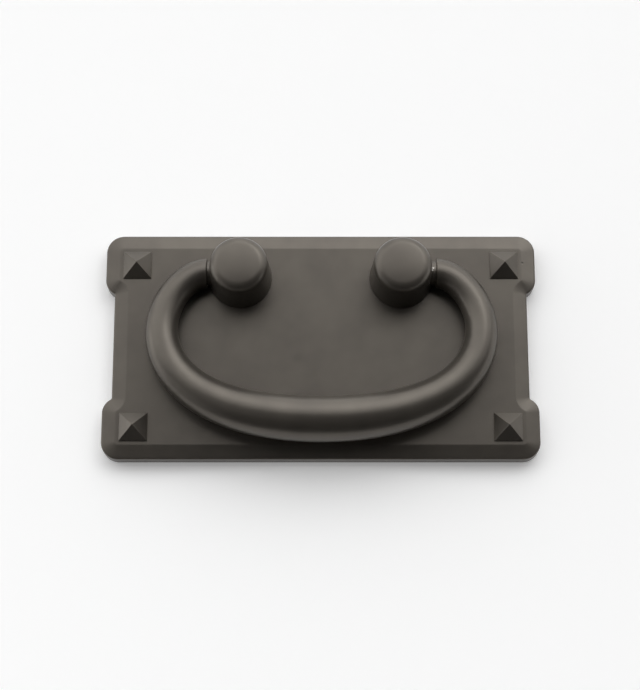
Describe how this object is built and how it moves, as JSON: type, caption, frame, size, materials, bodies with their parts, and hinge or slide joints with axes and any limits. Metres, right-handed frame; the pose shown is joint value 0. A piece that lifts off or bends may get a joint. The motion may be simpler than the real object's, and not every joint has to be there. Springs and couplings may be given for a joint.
{
  "type": "cabinet handle",
  "caption": "Mission-style bail pull: notched, bevelled plate with pyramid studs, round posts and a swelling bail that swings between them.",
  "frame": {"origin": "centre of the backplate's flat back, on the surface that the handle is screwed to", "axes": "+Z out of the face, +Y towards the plate's top edge where the posts stand, +X to the right"},
  "size_m": [0.1022, 0.0544, 0.0168],
  "materials": {
    "bronze_finish": "satin"
  },
  "bodies": {
    "base": {"backplate": "bronze_finish", "left_post": "bronze_finish", "right_post": "bronze_finish"},
    "swing": {"bail": "bronze_finish"}
  },
  "joints": [
    {"name": "bail_swing", "type": "hinge", "parent": "base", "child": "swing", "pos_m": [0, 0.0165, 0.0081], "axis": [-1, 0, 0], "range_deg": [0, 176]}
  ]
}
